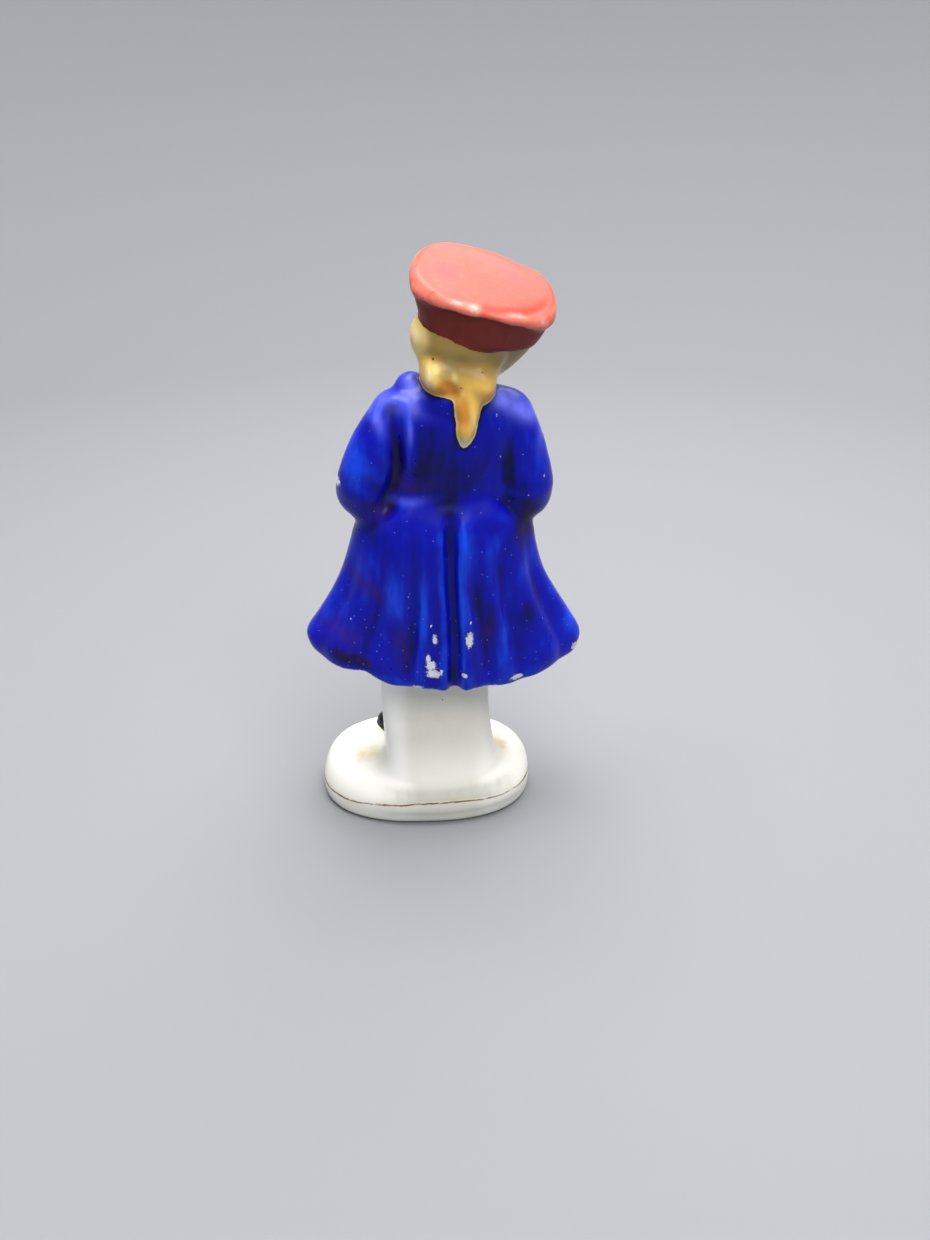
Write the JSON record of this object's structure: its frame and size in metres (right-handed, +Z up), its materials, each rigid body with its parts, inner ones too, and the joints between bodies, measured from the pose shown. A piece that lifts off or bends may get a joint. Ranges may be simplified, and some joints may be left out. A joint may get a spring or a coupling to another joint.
{
  "type": "colonial figurine",
  "caption": "Glazed porcelain figurine of a youth in a cocked hat, flared tail coat and tied hair, standing against a plain support on a rounded oval plinth.",
  "frame": {"origin": "on the plinth's flat underside, close to its middle", "axes": "+Z up; the figure faces -Y and its left hand is on the +X side"},
  "size_m": [0.0437, 0.025, 0.0883],
  "materials": {
    "glazed_porcelain": "glossy glaze over hand-painted colour: cobalt coat, iron-red hat, yellow hair, white plinth with a worn gold line"
  },
  "bodies": {
    "root": {"colonial_figurine": "glazed_porcelain"}
  },
  "joints": []
}
